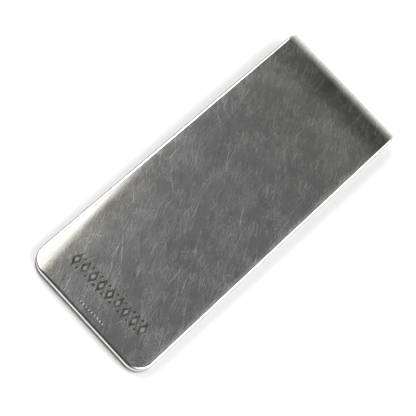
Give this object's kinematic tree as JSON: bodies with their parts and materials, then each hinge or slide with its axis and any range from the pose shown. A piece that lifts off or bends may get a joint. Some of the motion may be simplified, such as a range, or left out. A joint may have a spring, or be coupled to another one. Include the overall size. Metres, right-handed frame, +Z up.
{
  "type": "money clip",
  "caption": "Slim money clip made from one folded silver strip; the fold is the spring, and the front leaf lifts to grip folded notes.",
  "frame": {"origin": "under the middle of the clip's footprint, on the outer face of the back leaf that it lies on", "axes": "+X along the clip towards the fold, +Y across the strip, +Z up from the back leaf through the front leaf"},
  "size_m": [0.0565, 0.023, 0.0036],
  "materials": {
    "front_silver": "worn sterling silver, covered in fine hairline scratches, slightly dull, with bright worn edges and a darker patina near the fold",
    "back_silver": "worn sterling silver, finely scratched, a little duller and darker towards the inner faces"
  },
  "bodies": {
    "back": {"back_leaf": "back_silver", "fold_lower": "back_silver"},
    "front": {"front_leaf": "front_silver", "fold_upper": "front_silver"}
  },
  "joints": [
    {"name": "leaf_flex", "type": "hinge", "parent": "back", "child": "front", "pos_m": [0.02825, 0, 0.0018], "axis": [0, 1, 0], "range_deg": [0, 6], "stiffness_Nm_per_rad": 4.8}
  ]
}
